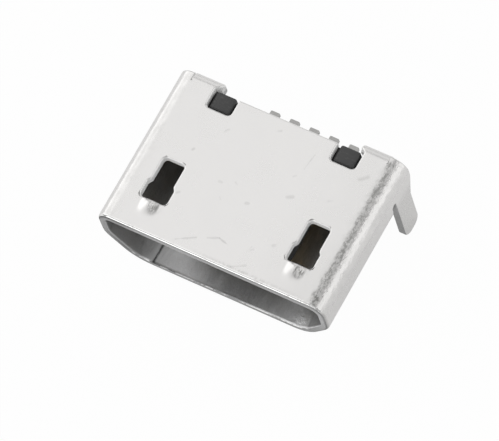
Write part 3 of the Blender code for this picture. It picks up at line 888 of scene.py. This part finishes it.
def outer_nickel(finishes, plan):
    """Satin nickel: clouding, handling marks, mottled bends and a scuffed streak along the right one.

    A mask is 1 where its wear, painted shade or painted highlight lies. Painted shade falls on the left
    bend, the bumps' right flanks, the mouth's corners, round the streak and towards the right and front
    right, and a broken painted highlight runs along the mouth's top edge. The colour, the roughness and
    the relief are sums of shares of masks.
    """
    paint = Paint("plated_sheet")
    side, mouth, rear, top = sheet_places(plan)
    across = abs(paint.x)
    cloud = paint.noise(0.8, 2.0)
    grain = paint.noise(9.0, 3.0, 0.6)
    mottle = paint.noise(4.0, 4.0, 0.65, stretch=(1.2, 0.8, 1))
    flakes = paint.noise(10.0, 3.0, 0.8, stretch=(1.4, 0.7, 1), turn=math.radians(-20)).ramp(0.40, 0.56)
    wander = (paint.noise(5.0, 4.0, 0.8, shift=(4, 0, 0)) - 0.5) * 0.45
    right, plate = paint.x.ramp(-1.0, 1.0), paint.z.ramp(top - 0.45, top - 0.25)
    bend = across.ramp(side - 0.80, side - 0.40) * paint.z.ramp(top - 0.65, top - 0.40)
    # Painted shade that dims the bright reflected band on the left bend.
    left_bend_shade = across.bell(side - 0.33, 0.08) * (1 - right) * plate * 0.24
    streak = (across + wander).bell(side - 0.37, 0.10) * (flakes * 0.50 + 0.08)
    # The second term is a faint, wide painted shade round the flaked line of wear.
    streak = streak + across.bell(side - 0.40, 0.16) * 0.06
    stretch = paint.y.ramp(rear - 0.075, rear - 0.275) + paint.y.ramp(mouth + 0.625, mouth + 0.125) * 0.5
    # The streak's wear and the painted shade round it, strongest on the right.
    scuff_and_shade = streak * plate * (right * 0.9 + 0.1) * stretch
    glint = across.bell(side - 0.14, 0.13) * paint.z.ramp(top - 0.65, top - 0.45)
    marks = scratches(paint) * plate
    # Painted shade on the right flanks of the bumps.
    bump_flank_shade = shade_on_bump_flanks(paint, plan) * plate
    leg = paint.y.ramp(rear - 1.325, rear - 0.825) * paint.z.ramp(top - 0.85, top - 1.35)
    front = paint.y.bell(mouth + 0.13, 0.05) * across.ramp(side, 0.5) * flakes * right * plate
    # Painted shade along the mouth's edge near the sides, where it rounds into the side walls.
    mouth_corner_shade = paint.y.ramp(mouth + 0.12, mouth + 0.03) * across.ramp(side - 0.20, side - 0.04)
    # A painted highlight, broken into patches, along the mouth's top edge.
    rim = paint.y.ramp(mouth + 0.12, mouth + 0.06) * paint.z.ramp(top - 0.35, top - 0.15) * (1 - mouth_corner_shade)
    broken_highlight = rim * paint.noise(3.0, 4.0, 0.7, stretch=(1, 0.3, 1)).ramp(0.36, 0.46)
    shaded = paint.x.ramp(1.0, 3.4) * 0.05 + paint.x.ramp(0.5, 3.4) * paint.y.ramp(0.5, -2.5) * 0.06
    # Stains and random tone, with the painted shade on the left bend, and the legs darker lower down.
    stains_and_shade = (0.5 - cloud) * 0.12 + (0.5 - mottle) * bend * 0.35 + left_bend_shade + leg * 0.14
    # Wear, with the painted shade round the streak, on the bumps' right flanks and at the mouth's corners.
    wear_and_shading = scuff_and_shade + marks * 0.35 + bump_flank_shade * 0.9 + front * 0.3 + mouth_corner_shade * 0.45
    plain = paint.mix(wear_and_shading + shaded + stains_and_shade, finishes.nickel, WORN_AND_SHADED_NICKEL)
    base = paint.mix(broken_highlight, plain, EDGE_HIGHLIGHT)
    roughness = 0.29 + (cloud - 0.5) * 0.12 + (grain - 0.5) * 0.06
    roughness = roughness + scuff_and_shade * 0.25 - glint * 0.08 - broken_highlight * 0.14
    relief = grain * 0.05 + cloud * 0.35 + mottle * (bend * 0.5 + glint * 1.6) * (right * 0.8 + 0.2)
    relief = relief - scuff_and_shade * 0.3 - marks * 0.3 - bump_flank_shade * 0.6
    return paint.shade(base, roughness, 1.0, relief, 0.02 * MM)


def shade_on_bump_flanks(paint, plan):
    """Painted shade in dark lines on the right flank of both bumps: a bell each way, combed by a drawn-out
    noise.
    """
    aside = 0.15
    crest = (MOUTH + plan.window.bump_crest) / MM
    across = abs(paint.x - aside).bell(plan.window_centre / MM, 0.15)
    along = paint.y.bell(crest - 0.06, 0.13)
    comb = paint.noise(6.0, 3.0, 0.7, stretch=(2.2, 0.5, 1), turn=math.radians(25)).ramp(0.40, 0.54)
    return across * along * comb


def cut_edge(finishes, plan):
    """Sheared metal: finely grained and shaded at the mouth, light round the windows and notches.

    The mouth's lower edge curls over to the inside, where a painted highlight lies in patches.
    """
    paint = Paint("sheared_edge")
    _, mouth, _, top = sheet_places(plan)
    grain = paint.noise(18.0, 3.0, 0.6)
    section = paint.node("Attribute", {"attribute_name": "section"}, {}, "Fac")
    window = paint.z.ramp(top - 0.45, top - 0.25) * paint.y.ramp(mouth + 0.325, mouth + 0.525)
    rim = paint.y.ramp(mouth + 0.425, mouth + 0.225)
    foot = paint.z.ramp(0.5, 0.3)
    low = paint.z.ramp(1.8, 0.4) + paint.x.ramp(-2.2, -3.0) * rim * 0.8
    # A painted highlight in patches on the inner side of the mouth's lower edge.
    inner_edge_highlight = section.ramp(0.78, 0.90) * paint.noise(2.5, 3.0, 0.7).ramp(0.44, 0.58) * foot * rim
    shaded = section.ramp(0.42, 0.20) * rim * 0.6 + low * 0.45 + (grain - 0.5) * 0.4
    plain = paint.mix(shaded, finishes.cut_edge, SHADED_EDGE)
    base = paint.mix((window + inner_edge_highlight).clamped(), plain, PALE_WALL_AND_HIGHLIGHT)
    return paint.shade(base, 0.38 + grain * 0.15, 1 - window * 0.95 - inner_edge_highlight * 0.5, grain, 0.003 * MM)


def inner_nickel(finishes, plan):
    """The sheet's inside: matt and smeared, with painted shade that deepens behind the mouth, and grime
    along the seam.

    A painted rough glint lies at the right end of the mouth, painted light patches lie to the left and
    right, and more painted shade lies in the middle and at the far left.
    """
    paint = Paint("sheet_inside")
    _, mouth, _, _ = sheet_places(plan)
    # Painted shade, deepening behind the mouth.
    depth = paint.y.ramp(mouth + 0.075, mouth + 1.625)
    floor = paint.z.ramp(0.4, 0.3)
    smear = paint.noise(2.2, 4.0, 0.6, stretch=(1.6, 0.35, 1))
    rough = paint.noise(6.0, 4.0, 0.65)
    wander = (paint.noise(3.0, 2.0) - 0.5) * 0.10
    seam = (paint.x + wander).bell(plan.seam / MM, 0.035)
    grime = seam * floor * paint.y.ramp(mouth + 0.925, mouth + 0.525)
    # A painted glint at the right end of the mouth.
    glint = paint.x.bell(2.60, 0.22) * paint.y.bell(mouth + 0.12, 0.25) * paint.z.ramp(0.7, 0.3)
    # Painted light patches to the left and right.
    light = paint.x.bell(-1.5, 0.8) * 0.9 + paint.x.bell(2.1, 0.5) * 0.4
    # The inside's base darkening, with painted shade deeper in the middle and at the far left.
    dullness_and_shade = 0.55 + paint.x.bell(0.5, 0.9) * 0.4 + paint.x.ramp(-2.3, -2.7) * 0.6
    # The inside's darkening: painted shade and smears, lifted by the painted glint and light patches.
    wear_and_shading = dullness_and_shade + depth * 0.5 + (smear - 0.5) * 1.5 - glint * 2 - light
    base = paint.mix(grime * 0.9, paint.mix(wear_and_shading, finishes.inside, DULL_AND_SHADED_INSIDE), GRIME)
    relief = smear * 0.8 + rough * (glint * 2.0 + 0.15)
    metallic = 1 - glint * 0.85 - paint.x.bell(-1.5, 0.7) * floor * 0.25
    return paint.shade(base, 0.36 + smear * 0.2, metallic, relief, 0.03 * MM)


def black_moulding(finishes):
    """Glass-filled moulding: a matt black skin with fine grey fibres and a slight orange peel."""
    paint = Paint("black_moulding")
    fibre = paint.noise(9.0, 4.0, 0.7, stretch=(0.4, 1.6, 1)).ramp(0.55, 0.75)
    peel = paint.noise(14.0, 2.0)
    base = paint.mix(fibre * 0.35, finishes.moulding, FIBRE)
    return paint.shade(base, 0.5 + (peel - 0.5) * 0.2, 0.0, peel, 0.004 * MM)


def contact_metal(finishes):
    """Tin on the tails and gold on the mating faces, which end where the block starts."""
    paint = Paint("contact_metal")
    forward = paint.y.ramp(1.6, 1.4)
    drawn = paint.noise(22.0, 3.0, 0.5, stretch=(2.5, 0.3, 1))
    plated = paint.mix(forward, finishes.tin, finishes.gold)
    base = paint.mix((drawn - 0.5) * 0.35, plated, DRAWN_LINES)
    return paint.shade(base, 0.3 + drawn * 0.15, 1.0, drawn, 0.002 * MM)


def add_solidify(piece, thickness):
    """Thickens the sheet inwards. The inside and the cuts take the second and third material."""
    modifier = piece.modifiers.new("Thickness", "SOLIDIFY")
    modifier.thickness = thickness
    modifier.offset = -1
    modifier.use_even_offset = True
    modifier.use_quality_normals = True
    modifier.material_offset = 1
    modifier.material_offset_rim = 2


def apply_modifiers(piece):
    """Makes the evaluated mesh the piece's own."""
    mesh = bpy.data.meshes.new_from_object(piece.evaluated_get(bpy.context.evaluated_depsgraph_get()))
    piece.modifiers.clear()
    piece.data = mesh


def round_edges(piece, width, segments, limit="ANGLE"):
    """Bevels the piece while its mesh is in millimetres, a size that the modifier's tolerances suit."""
    piece.data.transform(Matrix.Scale(1 / MM, 4))
    modifier = piece.modifiers.new("Rounded edges", "BEVEL")
    modifier.width = width / MM
    modifier.segments = segments
    modifier.limit_method = limit
    modifier.angle_limit = math.radians(40)
    modifier.harden_normals = True
    modifier.use_clamp_overlap = False
    apply_modifiers(piece)
    piece.data.transform(Matrix.Scale(MM, 4))


class SOCKET_OT_fold_sheet(bpy.types.Operator):
    """Folds the shell: one sheet round the mouth, with its windows, notches, flanges, legs and seam"""

    bl_idname = "socket.fold_sheet"
    bl_label = "Fold Sheet"

    def execute(self, context):
        scene = context.scene
        plan = SheetPlan(scene.socket_sheet, scene.socket_window, scene.socket_rear)
        skin = Skin()
        plan.add_plate(skin)
        plan.add_window(skin)
        plan.add_notch(skin)
        plan.add_flange(skin)
        plan.add_corner(skin)
        plan.add_side(skin)
        plan.add_slant(skin)
        skin.add_mirror_image()
        plan.add_underside(skin)
        piece = skin.to_object("folded_sheet")
        finishes = scene.socket_finishes
        for finish in (outer_nickel, inner_nickel, cut_edge):
            piece.data.materials.append(finish(finishes, plan))
        add_solidify(piece, plan.sheet.thickness)
        apply_modifiers(piece)
        plan.press_bumps(piece.data)
        mark_section(piece.data)
        plan.weigh_edges(piece.data)
        round_edges(piece, plan.sheet.mouth_round, segments=4, limit="WEIGHT")
        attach(piece, "root")
        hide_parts("shell")
        return {"FINISHED"}


def welded_copy(node, name):
    """A copy of a CAD node with its triangles welded and its flat faces made whole."""
    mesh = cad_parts[node].data.copy()
    mesh.name = name
    with opened(mesh) as bm:
        bmesh.ops.remove_doubles(bm, verts=bm.verts, dist=WELD)
        bmesh.ops.dissolve_limit(bm, angle_limit=math.radians(0.5), verts=bm.verts, edges=bm.edges)
        for edge in bm.edges:
            edge.smooth = True
    mesh.shade_smooth()
    mesh.materials.clear()
    return add_object(name, mesh)


def lean_sides(mesh, sizes):
    """Leans the foot of the block's sides in, as the shell's slanted corners do.

    The mesh is cut at the foot's top first. Below it the tuck grows evenly with the depth.
    """
    with opened(mesh) as bm:
        everything = [*bm.verts, *bm.edges, *bm.faces]
        level = {"plane_co": (0, 0, sizes.foot_top), "plane_no": (0, 0, 1)}
        bmesh.ops.bisect_plane(bm, geom=everything, dist=WELD, **level)
    places = read_places(mesh)
    x, _, z = places.T
    share = np.clip((sizes.foot_top - z) / (sizes.foot_top - z.min()), 0, 1)
    x -= np.sign(x) * sizes.foot_tuck * share * (np.abs(x) > BLOCK_SIDE)
    mesh.vertices.foreach_set("co", places.ravel())


class SOCKET_OT_mould_insulator(bpy.types.Operator):
    """Finishes the insulator's moulding with rounded edges"""

    bl_idname = "socket.mould_insulator"
    bl_label = "Mould Insulator"

    def execute(self, context):
        scene = context.scene
        piece = welded_copy("insulator_housing", "moulding")
        piece.data.materials.append(black_moulding(scene.socket_finishes))
        lean_sides(piece.data, scene.socket_moulding)
        round_edges(piece, scene.socket_moulding.edge_round, segments=2)
        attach(piece, "root")
        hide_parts("insulator_housing")
        return {"FINISHED"}


def contact_surface(low, high, sizes):
    """A flat strip carried along its bent centre line.

    The centre line runs level, turns down on an arc, turns level again on another and ends behind the
    block. Its section is a rectangle with rounded corners, square to the line, and shrinks by the
    corner radius over the last step at each end.
    """
    half_thickness = sizes.thickness / 2
    width = high.x - low.x
    level = high.z - half_thickness
    foot = low.z + half_thickness
    riser = high.y - sizes.tail
    arcs = corner_arcs(
        [(low.y, level, 0), (riser, level, sizes.bend), (riser, foot, sizes.bend), (high.y, foot, 0)]
    )
    path = joined(*arcs)
    round_by = sizes.edge_round
    start = path[0] + (round_by, 0)
    end = path[-1] - (round_by, 0)
    path = np.vstack([path[0], start, path[1:-1], end, path[-1]])
    run = np.gradient(path, axis=0)
    normal = pairs(-run[:, 1], run[:, 0]) / np.hypot(*run.T)[:, None]
    inset = np.zeros(len(path))
    inset[[0, -1]] = round_by
    corners = [(u * width / 2, v * half_thickness, round_by) for u, v in QUARTERS]
    section = joined(*corner_arcs(corners, closed=True))
    shrink_u = 1 - 2 * inset[:, None] / width
    shrink_v = 1 - inset[:, None] / half_thickness
    x = (low.x + high.x) / 2 + section[:, 0] * shrink_u
    across = section[:, 1] * shrink_v
    y = path[:, :1] + normal[:, :1] * across
    z = path[:, 1:] + normal[:, 1:] * across
    return np.stack([x, y, z], -1)


class SOCKET_OT_stamp_contacts(bpy.types.Operator):
    """Stamps the contacts: five strips below the tongue, down the block and out along the board"""

    bl_idname = "socket.stamp_contacts"
    bl_label = "Stamp Contacts"

    def execute(self, context):
        scene = context.scene
        plating = contact_metal(scene.socket_finishes)
        for number in range(1, scene.socket_contacts.count + 1):
            node = f"contact_{number}"
            surface = contact_surface(*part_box(node), scene.socket_contacts)
            rows, columns = surface.shape[:2]
            index = np.arange(rows * columns).reshape(rows, columns)
            turned = np.roll(index, -1, 1)
            quads = np.stack([index[:-1], turned[:-1], turned[1:], index[1:]], -1).reshape(-1, 4)
            ends = [index[0, ::-1].tolist(), index[-1].tolist()]
            mesh = bpy.data.meshes.new(f"strip_{number}")
            mesh.from_pydata(surface.reshape(-1, 3), [], quads.tolist() + ends)
            with opened(mesh) as bm:
                bmesh.ops.recalc_face_normals(bm, faces=bm.faces)
            mesh.shade_smooth()
            mesh.set_sharp_from_angle(angle=math.radians(50))
            mesh.materials.append(plating)
            piece = add_object(f"strip_{number}", mesh)
            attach(piece, "root")
            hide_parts(node)
        return {"FINISHED"}


def pale_floor(finishes):
    """A matt floor that looks white to the camera and keeps a trace of the socket's shadow."""
    paint = Paint("pale_floor")
    matt = paint.node("BsdfDiffuse", {}, {"Color": (*finishes.floor, 1)})
    glow = paint.node("Emission", {}, {"Color": (1, 1, 1, 1)})
    seen, mirrored = (paint.node("LightPath", {}, {}, f"Is {kind} Ray") for kind in ("Camera", "Glossy"))
    share = seen * SEEN_GLOW + mirrored * MIRRORED_GLOW
    return paint.finished(paint.node("MixShader", {}, {0: share, 1: matt, 2: glow}))


class SOCKET_OT_set_stage(bpy.types.Operator):
    """Sets the pale floor, the soft lights and the camera"""

    bl_idname = "socket.set_stage"
    bl_label = "Set Stage"

    def execute(self, context):
        scene = context.scene
        studio = scene.socket_studio
        self.add_floor(scene.socket_finishes)
        for name, (level, place, size) in SOFTBOXES.items():
            self.add_light(name, place, size, getattr(studio, level))
        self.add_surroundings(scene, studio.sky)
        self.add_camera(scene, studio)
        scene.view_settings.view_transform = "Standard"
        return {"FINISHED"}

    def add_floor(self, finishes):
        """A square in the plane of the legs' tips."""
        mesh = bpy.data.meshes.new("floor")
        corners = [(x * FLOOR_REACH, y * FLOOR_REACH, LEG_TIP) for x, y in QUARTERS]
        mesh.from_pydata(corners, [], [range(4)])
        mesh.materials.append(pale_floor(finishes))
        floor = add_object("floor", mesh)

    def add_light(self, name, place, size, radiance):
        """A softbox aimed at the socket. Its power is 4 * radiance * area."""
        data = bpy.data.lights.new(name, "AREA")
        data.shape = "RECTANGLE"
        data.size, data.size_y = size
        data.energy = 4 * radiance * data.size * data.size_y
        light = add_object(name, data)
        light.location = place
        light.rotation_euler = (-Vector(place)).to_track_quat("-Z", "Y").to_euler()
        light.visible_camera = False

    def add_surroundings(self, scene, radiance):
        """An even white world."""
        world = bpy.data.worlds.new("surroundings")
        world.use_nodes = True
        inputs = world.node_tree.nodes["Background"].inputs
        inputs["Color"].default_value = (1, 1, 1, 1)
        inputs["Strength"].default_value = radiance
        scene.world = world

    def add_camera(self, scene, studio):
        """The camera sits back from its aim along the view's direction and rolls about it."""
        data = bpy.data.cameras.new("camera")
        data.lens = studio.lens
        data.clip_start = 0.01
        data.clip_end = 10
        camera = add_object("camera", data)
        flat = math.cos(studio.elevation)
        back = Vector(
            (math.sin(studio.azimuth) * flat, -math.cos(studio.azimuth) * flat, math.sin(studio.elevation))
        )
        turn = (-back).to_track_quat("-Z", "Y").to_matrix() @ Matrix.Rotation(-studio.roll, 3, "Z")
        place = Vector(studio.aim) + back * studio.distance
        camera.matrix_world = Matrix.Translation(place) @ turn.to_4x4()
        scene.camera = camera


GROUPS = {
    "socket_sheet": SheetSizes,
    "socket_window": WindowSizes,
    "socket_rear": RearSizes,
    "socket_moulding": MouldingSizes,
    "socket_contacts": ContactSizes,
    "socket_finishes": Finishes,
    "socket_studio": Studio,
}
OPERATORS = (
    SOCKET_OT_fold_sheet,
    SOCKET_OT_mould_insulator,
    SOCKET_OT_stamp_contacts,
    SOCKET_OT_set_stage,
)


class SOCKET_PT_sidebar(bpy.types.Panel):
    """Lists the socket's pieces and its stage"""

    bl_idname = "SOCKET_PT_sidebar"
    bl_label = "Micro USB Socket"
    bl_space_type = "VIEW_3D"
    bl_region_type = "UI"
    bl_category = "Socket"

    def draw(self, context):
        for operator in OPERATORS:
            self.layout.operator(operator.bl_idname)


def register():
    """Adds the classes, and the property groups to the scene."""
    for group in GROUPS.values():
        bpy.utils.register_class(group)
    for name, group in GROUPS.items():
        setattr(bpy.types.Scene, name, PointerProperty(type=group))
    for made in (*OPERATORS, SOCKET_PT_sidebar):
        bpy.utils.register_class(made)


def unregister():
    """Takes out what register adds, in the opposite order."""
    for made in (SOCKET_PT_sidebar, *reversed(OPERATORS)):
        bpy.utils.unregister_class(made)
    for name in GROUPS:
        delattr(bpy.types.Scene, name)
    for group in reversed(GROUPS.values()):
        bpy.utils.unregister_class(group)


def main():
    """Makes every piece in order."""
    register()
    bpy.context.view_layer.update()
    bpy.ops.socket.fold_sheet()
    bpy.ops.socket.mould_insulator()
    bpy.ops.socket.stamp_contacts()
    bpy.ops.socket.set_stage()


if __name__ == "__main__":
    main()
